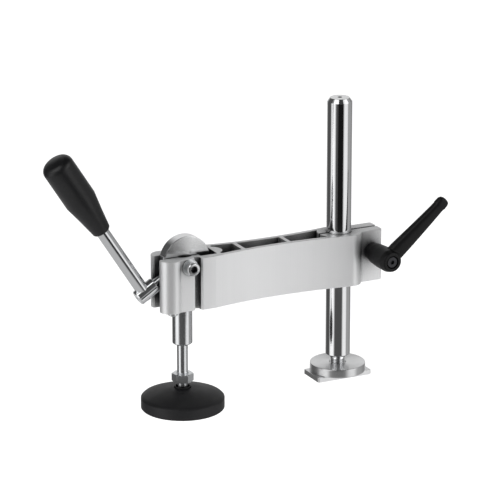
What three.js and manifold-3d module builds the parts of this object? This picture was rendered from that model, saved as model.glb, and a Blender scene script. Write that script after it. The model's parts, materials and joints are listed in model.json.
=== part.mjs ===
// Eccentric hold-down clamp on a round column, for the T-slot of a machine table.
// Millimetres, +Z up. The pieces are drawn from the column's axis at the underside of the base flange, with the
// arm along -X and the pivot and the clamping screw along Y. The finished clamp is then moved so that its origin
// is the centre of the pad's face, the point that presses on the workpiece.
import * as THREE from "three";
import { mergeVertices } from "three/addons/utils/BufferGeometryUtils.js";
import Module from "manifold-3d";

const wasm = await Module();
wasm.setup();

// ---------------------------------------------------------------- driving dimensions

const FIT = 0.1; // radial clearance of a running fit, and the air between faces that touch
const degrees = (angle) => (angle * Math.PI) / 180;
const inDegrees = (angle) => (angle * 180) / Math.PI;

const key = { length: 60, width: 32, thickness: 5, chamfer: 1.2 };
const flange = { radius: 28.1, thickness: 8.6, edge: 1 };
const column = { radius: 12.5, top: 283.6, chamfer: 2.7, chamferHeight: 4, shoulder: 17, neckRadius: 7.8 };

const arm = {
  bottom: 93,
  top: 146,
  bossHalfWidth: 20.2, // around the column
  bossCornerRadius: 12.9,
  lugHalfWidth: 12.5,
  lugEnd: 42.5,
  lugEdge: 1.5,
  waistX: -75,
  waistHalfWidth: 13.5,
  shoulderX: -146, // where the drawn-in sides reach their full width again, at the fork
  flankEndX: 5, // and beside the column, where the boss's round corner takes over
  wall: 4.8,
  ringRadius: 22,
  slit: 2.8,
};
const fork = {
  frontX: -161,
  grooveWidth: 6,
  grooveHalfWidth: 13,
  flatHalfWidth: 18.3,
  noseX: -189.2,
  noseY: 9.3,
  noseRadius: 11.5,
  slotHalfWidth: 6.8,
  mouthEdge: 1.5, // bevel at the slot's mouth
  mouthDepth: 1.8,
  roomX: -158,
  roomHalfWidth: 12,
};
const webs = [
  { from: -140.5, to: -136 },
  { from: -113, to: -108.5 },
  { from: -62.5, to: -58 },
];
const webBoss = { radius: 11, x: -141 };
const noseScrew = { x: -187, headRadius: 5, headHeight: 5, radius: 2.5, length: 12 };

const m8 = { radius: 4, headRadius: 6.5, headHeight: 8, socket: 6, nut: 13, nutHeight: 6.5 };
const washer = { radius: 8, thickness: 1.6 };
const grub = { radius: 2.5, socket: 1.4, socketDepth: 1.1, sunk: 0.4 };

const pivot = { x: -172.65, z: 138.2, bushRadius: 6, bushHalfLength: 6.6, spotFace: 8.5, screwTail: 11 };
const cam = { radius: 24.3, thickness: 12, eccentricity: 4.2, angle: 45, edge: 0.6 };
const lever = {
  angle: 212.6, // of the knuckle's axis, from +X towards +Z
  neckRadius: 4.6,
  neckStart: 12,
  knuckleStart: 35.1,
  knuckleEnd: 56.7,
  knuckleRadius: 8,
  rodOffset: 47.8,
  rodRadius: 6.5,
  rodStart: -6.3,
  rodEnd: 130,
  gripStart: 82,
  gripEnd: 172,
  gripRadius: 15.7,
  gripMouth: 9.3,
  gripShoulder: 121,
};

const sleeve = { radius: 10, waist: 8.3, waistFrom: 97.8, bore: 6.9, bottom: 54.7, lip: 3.4, top: 112.2 };
const button = { radius: 9.5, plug: 6.85, plugFrom: 106 };
const seatRing = { inner: 8.45, outer: 11, from: 98.2, thickness: 1.2 };
const guide = { length: 19.6 };
const spindle = { radius: 5.45, headRadius: 6.75, headHeight: 6, ballRadius: 7, ballZ: 2.5 };
const locknut = { acrossFlats: 19, from: 15.5, to: 24, turn: 4 };
const pad = { radius: 41.4, bottom: -12.4, wallTop: -1, crown: 9.2, facing: 3, rim: 1.4 };
const cup = { outer: 7.8, mouth: 7, collar: 9.5, collarHeight: 4, bottom: -6.5, rim: 10.6, play: 0.25 };

const returnCoil = { radius: 9.1, wire: 0.5, turns: 4 };
const pressureCoil = { radius: 5.9, wire: 0.7, turns: 6 };
const leverCoil = { radius: 4.2, wire: 0.5, turns: 4 };

const clamp = {
  x: 30.8,
  z: 124.5,
  insertRadius: 6.4,
  insertEnd: 30,
  hubStart: 14.6,
  hubRear: 8.6,
  barrelFrom: 24,
  barrelRadius: 10.6,
  hubFront: 11.4,
  fullFrom: 36,
  shoulder: 50,
  hubEnd: 56,
  faceRadius: 9.7,
  recess: 6.6,
  recessFrom: 42,
  cavityEnd: 35.8,
  screwHead: 5.6,
  screwHeadFrom: 51.8,
  screwRadius: 2.4,
  screwBore: 2.7,
  screwLength: 9.5, // in the insert
  lift: 4, // how far the handle pulls off the insert's teeth
  armAngle: 46,
  armLength: 82,
  armSag: -0.8, // the arm's middle stands this far to one side of the hub's axis
};
// Sections of the clamping arm: share of its length, half width, half thickness, height along the hub.
const armSections = [
  [0, 8.4, 5.6, 45],
  [0.2, 8.6, 5.8, 47],
  [0.5, 7.4, 5.2, 51.5],
  [0.8, 6.2, 4.7, 55.3],
  [0.88, 6, 4.5, 56.2],
  [0.91, 6.5, 4.5, 56.5],
  [0.96, 6.2, 4.2, 56.8],
  [1, 3.8, 2.6, 57],
];

// ---------------------------------------------------------------- finishes

const finish = (color, roughness, metalness) =>
  new THREE.MeshStandardMaterial({ color, roughness, metalness });
const SATIN_ALUMINIUM = finish(0xd4d5d8, 0.42, 0.9);
const POLISHED_CHROME = finish(0xe6e8ea, 0.08, 1);
const TURNED_STEEL = finish(0xc3c4c6, 0.3, 1);
const ZINC_STEEL = finish(0xa8aeb0, 0.35, 0.95);
const SPRING_STEEL = finish(0x8d9194, 0.3, 1);
const BRONZE = finish(0xb08a4e, 0.4, 0.95);
const BLACK_PLASTIC = finish(0x1f2022, 0.5, 0);
const BLACK_COAT = finish(0x1c1d1f, 0.42, 0.2);
const BLACK_RUBBER = finish(0x242527, 0.8, 0);

// ---------------------------------------------------------------- closed shapes

// A geometry with shared corners, no collapsed triangles, and its faces pointing out.
function closed(geometry) {
  const plain = geometry.clone();
  plain.deleteAttribute("normal");
  plain.deleteAttribute("uv");
  const merged = mergeVertices(plain, 1e-4);
  const corner = (i) => new THREE.Vector3().fromBufferAttribute(merged.attributes.position, i);
  const triangles = [];
  let volume = 0;
  for (let i = 0; i < merged.index.count; i += 3) {
    const [a, b, c] = [0, 1, 2].map((k) => merged.index.getX(i + k));
    if (a === b || b === c || c === a) continue;
    triangles.push([a, b, c]);
    volume += corner(a).dot(corner(b).cross(corner(c)));
  }
  merged.setIndex((volume < 0 ? triangles.map((triangle) => triangle.reverse()) : triangles).flat());
  return merged;
}

function solid(geometry) {
  const shape = closed(geometry);
  const vertProperties = new Float32Array(shape.attributes.position.array);
  const triVerts = new Uint32Array(shape.index.array);
  return new wasm.Manifold(new wasm.Mesh({ numProp: 3, vertProperties, triVerts }));
}

function geometryOf(body) {
  const { vertProperties, triVerts } = body.getMesh();
  const geometry = new THREE.BufferGeometry();
  geometry.setAttribute("position", new THREE.BufferAttribute(new Float32Array(vertProperties), 3));
  return geometry.setIndex(new THREE.BufferAttribute(new Uint32Array(triVerts), 1));
}

const cut = (shape, ...tools) =>
  geometryOf(tools.reduce((body, tool) => body.subtract(solid(tool)), solid(shape)));

const join = (shape, ...others) =>
  geometryOf(others.reduce((body, other) => body.add(solid(other)), solid(shape)));

function piece(name, geometry, material) {
  const faceted = closed(geometry).toNonIndexed();
  faceted.computeVertexNormals();
  const mesh = new THREE.Mesh(faceted, material);
  mesh.name = name;
  return mesh;
}

function group(position, children) {
  const frame = new THREE.Group();
  frame.position.set(...position);
  frame.add(...children);
  return frame;
}

// A body of revolution about Z from the (radius, z) corners of its half section. The section starts and ends
// on the axis, or closes on itself.
function turned(corners, segments = 32) {
  const points = corners.map(([radius, z]) => new THREE.Vector2(radius, z));
  const onAxis = points[0].x === 0 && points.at(-1).x === 0;
  if (!onAxis) points.push(points[0].clone());
  return new THREE.LatheGeometry(points, segments).rotateX(Math.PI / 2);
}

const pin = (radius, from, to, segments = 32) =>
  turned([[0, from], [radius, from], [radius, to], [0, to]], segments);

const tube = (inner, outer, from, to, segments = 32) =>
  turned([[inner, from], [outer, from], [outer, to], [inner, to]], segments);

// A shape in the XY plane drawn out along Z.
function prism(points, from, to) {
  const settings = { depth: to - from, bevelEnabled: false };
  return new THREE.ExtrudeGeometry(new THREE.Shape(points), settings).translate(0, 0, from);
}

function box(minimum, maximum) {
  const size = maximum.map((value, i) => value - minimum[i]);
  const centre = maximum.map((value, i) => (value + minimum[i]) / 2);
  return new THREE.BoxGeometry(...size).translate(...centre);
}

// Points of an arc in the XY plane, both ends included; angles in degrees.
function arc(x, y, radius, from, to, steps) {
  return Array.from({ length: steps + 1 }, (_, i) => {
    const angle = degrees(from + ((to - from) * i) / steps);
    return new THREE.Vector2(x + radius * Math.cos(angle), y + radius * Math.sin(angle));
  });
}

// A hexagonal bar along Z whose ends are turned down to a cone, with a round bore.
function hexNut(acrossFlats, bore, from, to) {
  const corner = acrossFlats / Math.sqrt(3);
  const edge = corner - acrossFlats / 2;
  const bar = solid(pin(corner, from, to, 6));
  const cone = solid(
    turned([
      [0, from],
      [acrossFlats / 2, from],
      [corner + FIT, from + edge],
      [corner + FIT, to - edge],
      [acrossFlats / 2, to],
      [0, to],
    ]),
  );
  return cut(geometryOf(bar.intersect(cone)), pin(bore, from - 1, to + 1));
}

class Helix extends THREE.Curve {
  constructor(radius, turns, from, to) {
    super();
    Object.assign(this, { radius, turns, from, to });
  }

  getPoint(t, target = new THREE.Vector3()) {
    const angle = 2 * Math.PI * this.turns * t;
    const height = THREE.MathUtils.lerp(this.from, this.to, t);
    return target.set(this.radius * Math.cos(angle), this.radius * Math.sin(angle), height);
  }
}

// A coil spring of round wire about Z that fills the height between two seats.
function spring({ radius, wire, turns }, from, to) {
  const extrudePath = new Helix(radius, turns, from + wire, to - wire);
  const section = new THREE.Shape(arc(0, 0, wire, 0, 288, 4));
  return new THREE.ExtrudeGeometry(section, { extrudePath, steps: turns * 12, bevelEnabled: false });
}

// A body through a row of rings with the same number of points, closed at both ends.
function loft(rings) {
  const count = rings[0].length;
  const points = rings.flat();
  const index = [];
  for (let ring = 0; ring < rings.length - 1; ring += 1) {
    for (let i = 0; i < count; i += 1) {
      const a = ring * count + i;
      const b = ring * count + ((i + 1) % count);
      index.push(a, b, b + count, a, b + count, a + count);
    }
  }
  const last = (rings.length - 1) * count;
  for (let i = 1; i < count - 1; i += 1) {
    index.push(0, i + 1, i, last, last + i, last + i + 1);
  }
  return new THREE.BufferGeometry().setFromPoints(points).setIndex(index);
}

// ---------------------------------------------------------------- base and column

function slotKey() {
  const { length, width, thickness, chamfer } = key;
  const x = length / 2;
  const y = width / 2;
  const corners = [
    [x, y - chamfer],
    [x - chamfer, y],
    [chamfer - x, y],
    [-x, y - chamfer],
    [-x, chamfer - y],
    [chamfer - x, -y],
    [x - chamfer, -y],
    [x, chamfer - y],
  ];
  const outline = corners.map(([a, b]) => new THREE.Vector2(a, b));
  return cut(prism(outline, -thickness, -FIT), pin(column.neckRadius + FIT, -thickness - 1, 1));
}

function baseFlange() {
  const { radius, thickness, edge } = flange;
  const bore = column.neckRadius + 2 * FIT;
  const outside = [
    [radius - edge, 0],
    [radius, edge],
    [radius, thickness - edge],
    [radius - edge, thickness],
  ];
  return turned([[bore, 0], ...outside, [bore, thickness]], 48);
}

function columnBar() {
  const { radius, top, chamfer, chamferHeight, shoulder, neckRadius } = column;
  const foot = 0.5 - key.thickness;
  return turned(
    [
      [0, foot],
      [neckRadius - 1, foot],
      [neckRadius, foot + 1],
      [neckRadius, shoulder],
      [radius - 1, shoulder],
      [radius, shoulder + 1],
      [radius, top - chamferHeight],
      [radius - chamfer, top],
      [0, top],
    ],
    48,
  );
}

// ---------------------------------------------------------------- arm

// The arm's half width along its drawn-in sides.
function sideY(x) {
  const reach = x > arm.waistX ? arm.flankEndX : arm.shoulderX;
  const share = (x - arm.waistX) / (reach - arm.waistX);
  return arm.waistHalfWidth + (arm.bossHalfWidth - arm.waistHalfWidth) * share * share;
}

// Points at even steps of x on one drawn-in side, moved in by an inset.
function sidePoints(from, to, steps, inset = 0) {
  return Array.from({ length: steps + 1 }, (_, i) => {
    const x = THREE.MathUtils.lerp(from, to, i / steps);
    return new THREE.Vector2(x, sideY(x) - inset);
  });
}

const mirrored = (points) => points.map((point) => new THREE.Vector2(point.x, -point.y)).reverse();

function armOutline() {
  const { bossHalfWidth, bossCornerRadius, lugHalfWidth, lugEnd, lugEdge, flankEndX, shoulderX } = arm;
  const { frontX, grooveWidth, grooveHalfWidth, flatHalfWidth, noseX, noseY, noseRadius } = fork;
  const point = (x, y) => new THREE.Vector2(x, y);
  const flankSlope = Math.atan((2 * (bossHalfWidth - arm.waistHalfWidth)) / (flankEndX - arm.waistX));
  const cornerX = flankEndX + bossCornerRadius * Math.sin(flankSlope);
  const cornerY = bossHalfWidth - bossCornerRadius * Math.cos(flankSlope);
  const cornerStart = inDegrees(Math.asin((lugHalfWidth - cornerY) / bossCornerRadius));
  const flatEnd = inDegrees(Math.asin((flatHalfWidth - noseY) / noseRadius));
  const mouthY = fork.slotHalfWidth + fork.mouthEdge;
  const mouth = 180 + inDegrees(Math.asin((noseY - mouthY) / noseRadius));
  const mouthX = noseX - Math.sqrt(noseRadius ** 2 - (noseY - mouthY) ** 2);
  const grooveRadius = grooveWidth / 2;
  const side = [
    point(lugEnd, lugHalfWidth - lugEdge),
    point(lugEnd - lugEdge, lugHalfWidth),
    ...arc(cornerX, cornerY, bossCornerRadius, cornerStart, 90 + inDegrees(flankSlope), 7),
    ...sidePoints(flankEndX, shoulderX, 25).slice(1),
    point(frontX + lugEdge, bossHalfWidth),
    point(frontX, bossHalfWidth - lugEdge),
    ...arc(frontX - grooveRadius, grooveHalfWidth + grooveRadius, grooveRadius, 360, 180, 8),
    point(frontX - grooveWidth, flatHalfWidth),
    ...arc(noseX, noseY, noseRadius, flatEnd, mouth, 14),
    point(mouthX + fork.mouthDepth, fork.slotHalfWidth),
  ];
  return [...side, ...mirrored(side)];
}

const low = arm.bottom - 1;
const high = arm.top + 1;

// The hollow between two webs, inside the side walls.
function hollow(from, to, steps) {
  const side = sidePoints(from, to, steps, arm.wall);
  return prism([...side, ...mirrored(side)], low, high);
}

// A round hole along Y, through the whole arm unless its ends are given.
const crossHole = (radius, x, z, from = -30, to = 30) =>
  pin(radius, from, to, 32)
    .rotateX(Math.PI / 2)
    .translate(x, 0, z);

function armBody() {
  const { slotHalfWidth, roomX, roomHalfWidth, noseX, noseY, noseRadius } = fork;
  const boss = pin(webBoss.radius, low - 1, high + 1).translate(webBoss.x, 0, 0);
  const ring = pin(arm.ringRadius, low - 1, high + 1, 48);
  const groove = pin(seatRing.outer + FIT, seatRing.from - FIT, seatRing.from + seatRing.thickness + FIT);
  const half = arm.slit / 2;
  return cut(
    prism(armOutline(), arm.bottom, arm.top),
    box([noseX - 2 * noseRadius, -slotHalfWidth, low], [roomX + 1, slotHalfWidth, high]),
    box([roomX, -roomHalfWidth, low], [webs[0].from, roomHalfWidth, high]),
    cut(hollow(webs[0].to, webs[1].from, 6), boss),
    hollow(webs[1].to, webs[2].from, 10),
    cut(hollow(webs[2].to, -arm.ringRadius / 2, 10), ring),
    pin(column.radius + FIT, low, high, 48),
    pin(sleeve.radius + FIT, low, high).translate(pivot.x, 0, 0),
    groove.translate(pivot.x, 0, 0),
    box([-arm.ringRadius - 2, -half, low], [arm.lugEnd + 1, half, high]),
    crossHole(m8.radius + FIT, pivot.x, pivot.z),
    crossHole(pivot.spotFace, pivot.x, pivot.z, fork.flatHalfWidth),
    crossHole(pivot.spotFace, pivot.x, pivot.z, -30, -fork.flatHalfWidth),
    crossHole(m8.radius + 2 * FIT, clamp.x, clamp.z),
    pin(noseScrew.radius + FIT, low, arm.bottom + noseScrew.length + 1, 20).translate(noseScrew.x, -noseY, 0),
  );
}

function noseScrewBody() {
  const { headRadius, headHeight, radius, length } = noseScrew;
  const under = -FIT;
  return turned(
    [
      [0, -headHeight],
      [headRadius - 1, -headHeight],
      [headRadius, 1 - headHeight],
      [headRadius, under],
      [radius, under],
      [radius, length],
      [0, length],
    ],
    20,
  );
}

// ---------------------------------------------------------------- screws along an axis

// A socket head screw along +Z: the shank ends at tail, the head stands on seat.
function socketScrew(tail, seat) {
  const { radius, headRadius, headHeight, socket } = m8;
  const top = seat + headHeight;
  const body = turned([
    [0, tail],
    [radius - 0.8, tail],
    [radius, tail + 0.8],
    [radius, seat],
    [headRadius, seat],
    [headRadius, top - 0.8],
    [headRadius - 0.8, top],
    [0, top],
  ]);
  return cut(body, pin(socket / Math.sqrt(3), top - headHeight / 2, top + 1, 6));
}

const flatWasher = (from) => tube(m8.radius + 2 * FIT, washer.radius, from, from + washer.thickness, 24);

// ---------------------------------------------------------------- eccentric and its lever

const camAngle = degrees(cam.angle);
const camX = cam.eccentricity * Math.cos(camAngle);
const camY = cam.eccentricity * Math.sin(camAngle);

// Lays a body built along Z down along the knuckle's axis.
const alongKnuckle = (geometry) => geometry.rotateY(Math.PI / 2).rotateZ(degrees(lever.angle));

function camDisc() {
  const half = cam.thickness / 2;
  const { radius, edge } = cam;
  const rim = [
    [radius - edge, -half],
    [radius, edge - half],
    [radius, half - edge],
    [radius - edge, half],
  ];
  return cut(
    turned([[0, -half], ...rim, [0, half]], 56).translate(camX, camY, 0),
    pin(pivot.bushRadius + FIT, -half - 1, half + 1),
    alongKnuckle(pin(lever.neckRadius + FIT, lever.neckStart - FIT, cam.radius + 5, 32)),
  );
}

const neckEnd = lever.rodOffset - lever.rodRadius - 6 * FIT;
const neck = () => pin(lever.neckRadius, lever.neckStart, neckEnd, 32);

function knuckle() {
  const { knuckleStart, knuckleEnd, knuckleRadius, rodOffset, rodRadius, rodStart, neckRadius } = lever;
  const body = turned([
    [0, knuckleStart],
    [knuckleRadius - 0.5, knuckleStart],
    [knuckleRadius, knuckleStart + 0.5],
    [knuckleRadius, knuckleEnd - 1.2],
    [knuckleRadius - 1.2, knuckleEnd],
    [0, knuckleEnd],
  ]);
  const rodBore = pin(rodRadius + FIT, rodStart - FIT, 2 * knuckleRadius);
  return cut(
    body,
    rodBore.rotateX(Math.PI / 2).translate(0, 0, rodOffset),
    pin(neckRadius + FIT, knuckleStart - 1, neckEnd + 3 * FIT, 32),
    pin(grub.radius + FIT, rodOffset, knuckleEnd + 1, 24),
  );
}

const setScrew = () =>
  cut(
    pin(grub.radius, lever.rodOffset + lever.rodRadius + FIT, lever.knuckleEnd - grub.sunk, 24),
    pin(grub.socket, lever.knuckleEnd - grub.sunk - grub.socketDepth, lever.knuckleEnd, 6),
  );

const leverRod = () => pin(lever.rodRadius, lever.rodStart, lever.rodEnd);

function grip() {
  const { gripStart, gripEnd, gripRadius, gripMouth, gripShoulder, rodRadius, rodEnd } = lever;
  const mouthEdge = 1.8;
  const crownEdge = 8;
  const bore = rodRadius + FIT;
  const round = (x, y, radius, from, to, steps) =>
    arc(x, y, radius, from, to, steps).map((point) => [point.x, point.y]);
  return turned([
    [0, rodEnd + 1],
    [bore, rodEnd + 1],
    [bore, gripStart],
    ...round(gripMouth - mouthEdge, gripStart + mouthEdge, mouthEdge, -90, -10, 3),
    [gripRadius - 0.5, gripShoulder - 3],
    [gripRadius, gripShoulder],
    ...round(gripRadius - crownEdge, gripEnd - 1 - crownEdge, crownEdge, 0, 75, 4),
    [0, gripEnd],
  ]);
}

// ---------------------------------------------------------------- plunger, spindle and pad

function sleeveBody() {
  const { radius, waist, waistFrom, bore, bottom, lip, top } = sleeve;
  return turned([
    [spindle.radius + 2 * FIT, bottom],
    [radius - 1.5, bottom],
    [radius, bottom + 1.5],
    [radius, waistFrom],
    [waist, waistFrom],
    [waist, top],
    [bore, top],
    [bore, bottom + lip],
    [spindle.radius + 2 * FIT, bottom + lip],
  ]);
}

const camBottom = pivot.z + camY - cam.radius;
const PLAY = 0.25; // between the disc and the pressure button, which never meets the rising disc

function buttonBody() {
  const { radius, plug, plugFrom } = button;
  const seat = sleeve.top + FIT;
  const top = camBottom - PLAY;
  return turned([
    [0, plugFrom],
    [plug, plugFrom],
    [plug, seat],
    [radius, seat],
    [radius, top - 0.6],
    [radius - 0.6, top],
    [0, top],
  ]);
}

const guideFrom = sleeve.bottom + sleeve.lip + FIT;
const headFrom = guideFrom + guide.length + FIT;
const headTo = headFrom + spindle.headHeight;

function spindleBody() {
  const { radius, headRadius, ballRadius, ballZ } = spindle;
  const meet = inDegrees(Math.acos(radius / ballRadius));
  const ball = arc(0, ballZ, ballRadius, -90, meet, 8).map((point) => [Math.max(0, point.x), point.y]);
  ball[0][0] = 0;
  return turned([
    ...ball,
    [radius, headFrom],
    [headRadius, headFrom],
    [headRadius, headTo],
    [0, headTo],
  ]);
}

// The cup that holds the spindle's ball: round inside up to just above the ball's middle.
function cupBody() {
  const { outer, mouth, collar, collarHeight, bottom, rim } = cup;
  const { ballRadius, ballZ } = spindle;
  const hold = ballRadius + cup.play;
  const socket = arc(0, ballZ, hold, -90, 20, 7).map((point) => [Math.max(0, point.x), point.y]);
  socket[0][0] = 0;
  return turned([
    ...socket,
    [mouth, rim],
    [outer, rim],
    [outer, bottom + collarHeight],
    [collar, bottom + collarHeight],
    [collar, bottom],
    [0, bottom],
  ]);
}

function padPlate() {
  const { radius, bottom, wallTop, crown, facing, rim } = pad;
  const floor = bottom + facing;
  const crownFrom = cup.outer + 1.2;
  const collarTop = cup.bottom + cup.collarHeight + FIT;
  const dome = Array.from({ length: 7 }, (_, i) => {
    const r = THREE.MathUtils.lerp(radius - 0.8, crownFrom, i / 6);
    return [r, THREE.MathUtils.lerp(crown, wallTop + 1, (r / radius) ** 2)];
  });
  return turned(
    [
      [cup.outer + FIT, collarTop],
      [cup.collar + FIT, collarTop],
      [cup.collar + FIT, floor + FIT],
      [radius - rim - 2, floor + FIT],
      [radius - rim - 2, bottom + 0.6],
      [radius - 0.8, bottom + 0.6],
      [radius, bottom + 1.4],
      [radius, wallTop],
      ...dome,
      [cup.outer + FIT, crown + 0.1],
    ],
    48,
  );
}

const padFacing = () => pin(pad.radius - pad.rim - 2.1, pad.bottom, pad.bottom + pad.facing, 48);

// ---------------------------------------------------------------- clamping lever, along +Z of its own frame

const lugFace = arm.lugHalfWidth + FIT;

function insertBody() {
  const { insertRadius, insertEnd, screwRadius, screwLength } = clamp;
  const shoulder = lugFace + washer.thickness + FIT;
  const tail = -lugFace - washer.thickness - m8.nutHeight - 3;
  const body = turned([
    [0, tail],
    [m8.radius, tail],
    [m8.radius, shoulder],
    [insertRadius, shoulder],
    [insertRadius, insertEnd],
    [0, insertEnd],
  ]);
  return cut(body, pin(screwRadius + FIT, insertEnd - screwLength - 0.5, insertEnd + 1, 24));
}

function retainingScrew() {
  const { insertEnd, screwRadius, screwLength, screwHead, screwHeadFrom, hubEnd } = clamp;
  const top = hubEnd - 0.5;
  const socket = { radius: 2.6, depth: 2.3 };
  const body = turned([
    [0, insertEnd - screwLength],
    [screwRadius, insertEnd - screwLength],
    [screwRadius, screwHeadFrom],
    [screwHead, screwHeadFrom],
    [screwHead, top - 0.5],
    [screwHead - 0.5, top],
    [0, top],
  ]);
  return cut(body, pin(socket.radius, top - socket.depth, hubEnd, 6));
}

function clampArm() {
  const sides = 16;
  const squared = (value) => Math.sign(value) * Math.abs(value) ** 0.7;
  const rings = armSections.map(([share, halfWidth, halfThickness, height]) =>
    Array.from({ length: sides }, (_, i) => {
      const angle = (2 * Math.PI * i) / sides;
      const across = clamp.armSag + halfWidth * squared(Math.cos(angle));
      const up = height + halfThickness * squared(Math.sin(angle));
      return new THREE.Vector3(share * clamp.armLength, across, up);
    }),
  );
  return loft(rings).rotateZ(degrees(clamp.armAngle));
}

function clampHandle() {
  const { hubStart, hubRear, barrelFrom, barrelRadius, hubFront, fullFrom, shoulder, hubEnd } = clamp;
  const hub = turned([
    [0, hubStart],
    [hubRear, hubStart],
    [barrelRadius, barrelFrom],
    [hubFront, fullFrom],
    [hubFront, shoulder],
    [clamp.faceRadius, hubEnd],
    [0, hubEnd],
  ]);
  return cut(
    join(hub, clampArm()),
    pin(clamp.insertRadius + 2 * FIT, hubStart - 1, clamp.cavityEnd, 40),
    pin(clamp.screwBore, clamp.cavityEnd - 1, clamp.recessFrom + 1, 24),
    pin(clamp.recess, clamp.recessFrom, hubEnd + 6, 40),
  );
}

// ---------------------------------------------------------------- the assembly

const cheekFace = fork.flatHalfWidth + FIT;
const m8Nut = (to) => hexNut(m8.nut, m8.radius + FIT, to - m8.nutHeight, to);

const leverFrame = group([0, 0, 0], [
  piece("lever_neck", neck(), TURNED_STEEL),
  piece("lever_knuckle", knuckle(), POLISHED_CHROME),
  piece("knuckle_set_screw", setScrew(), ZINC_STEEL),
]);
leverFrame.rotation.set(0, Math.PI / 2, 0);

const rodFrame = group([lever.rodOffset, 0, 0], [
  piece("lever_rod", leverRod(), POLISHED_CHROME),
  piece("lever_grip", grip(), BLACK_PLASTIC),
]);
rodFrame.rotation.set(Math.PI / 2, 0, 0);

const leverArm = group([0, 0, 0], [leverFrame, rodFrame]);
leverArm.rotation.z = degrees(lever.angle);

const screwSeat = cheekFace + washer.thickness + FIT;
const pivotBush = tube(m8.radius + FIT, pivot.bushRadius, -pivot.bushHalfLength, pivot.bushHalfLength);
const pivotFrame = group([pivot.x, 0, pivot.z], [
  piece("pivot_screw", socketScrew(-cheekFace - pivot.screwTail, screwSeat), ZINC_STEEL),
  piece("pivot_washer_front", flatWasher(cheekFace), ZINC_STEEL),
  piece("pivot_washer_back", flatWasher(-cheekFace - washer.thickness), ZINC_STEEL),
  piece("pivot_nut", m8Nut(-cheekFace - washer.thickness - FIT), ZINC_STEEL),
  piece("pivot_bush", pivotBush, BRONZE),
  piece("eccentric_disc", camDisc(), POLISHED_CHROME),
  leverArm,
]);
pivotFrame.rotation.x = Math.PI / 2;

const spindleBore = spindle.radius + FIT;
const nutBody = hexNut(locknut.acrossFlats, spindleBore, locknut.from, locknut.to);
const lockNut = piece("lock_nut", nutBody, ZINC_STEEL);
lockNut.rotation.z = degrees(locknut.turn);

const ringTop = seatRing.from + seatRing.thickness;
const springSeat = ringTop + FIT;
const guideBush = tube(spindleBore, sleeve.bore - FIT / 2, guideFrom, guideFrom + guide.length);
const spacer = tube(seatRing.inner, seatRing.outer, seatRing.from, ringTop);
const plungerFrame = group([pivot.x, 0, 0], [
  piece("plunger_sleeve", sleeveBody(), POLISHED_CHROME),
  piece("pressure_button", buttonBody(), TURNED_STEEL),
  piece("guide_bush", guideBush, BRONZE),
  piece("spring_seat_ring", spacer, SPRING_STEEL),
  piece("return_spring", spring(returnCoil, springSeat, sleeve.top), SPRING_STEEL),
  piece("pressure_spring", spring(pressureCoil, headTo + FIT, button.plugFrom - FIT), SPRING_STEEL),
  piece("spindle", spindleBody(), POLISHED_CHROME),
  lockNut,
  piece("pad_cup", cupBody(), BLACK_PLASTIC),
  piece("pad_plate", padPlate(), BLACK_PLASTIC),
  piece("pad_facing", padFacing(), BLACK_RUBBER),
]);

const leverCoilTop = clamp.screwHeadFrom - clamp.lift - FIT;
const clampFrame = group([clamp.x, 0, clamp.z], [
  piece("clamp_washer_front", flatWasher(lugFace), ZINC_STEEL),
  piece("clamp_washer_back", flatWasher(-lugFace - washer.thickness), ZINC_STEEL),
  piece("clamp_nut", m8Nut(-lugFace - washer.thickness - FIT), ZINC_STEEL),
  piece("clamp_insert", insertBody(), ZINC_STEEL),
  piece("clamp_retaining_screw", retainingScrew(), ZINC_STEEL),
  piece("clamp_spring", spring(leverCoil, clamp.recessFrom + FIT, leverCoilTop), SPRING_STEEL),
  piece("clamp_handle", clampHandle(), BLACK_COAT),
]);
clampFrame.rotation.x = Math.PI / 2;

export default group([-pivot.x, 0, -pad.bottom], [
  piece("t_slot_key", slotKey(), TURNED_STEEL),
  piece("base_flange", baseFlange(), TURNED_STEEL),
  piece("column", columnBar(), POLISHED_CHROME),
  piece("arm", armBody(), SATIN_ALUMINIUM),
  group([noseScrew.x, -fork.noseY, arm.bottom], [piece("nose_screw", noseScrewBody(), ZINC_STEEL)]),
  pivotFrame,
  plungerFrame,
  clampFrame,
]);
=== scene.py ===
"""Looks for the eccentric hold-down clamp: its visible pieces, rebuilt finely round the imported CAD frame.

The builders work in millimetres from the column's axis at the underside of the flange. HOME is that point in
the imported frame. A piece built along its own axis (local Z) is laid in place by one of the frames below.
"""
import json
import math
import bpy
from mathutils import Matrix, Vector


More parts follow.
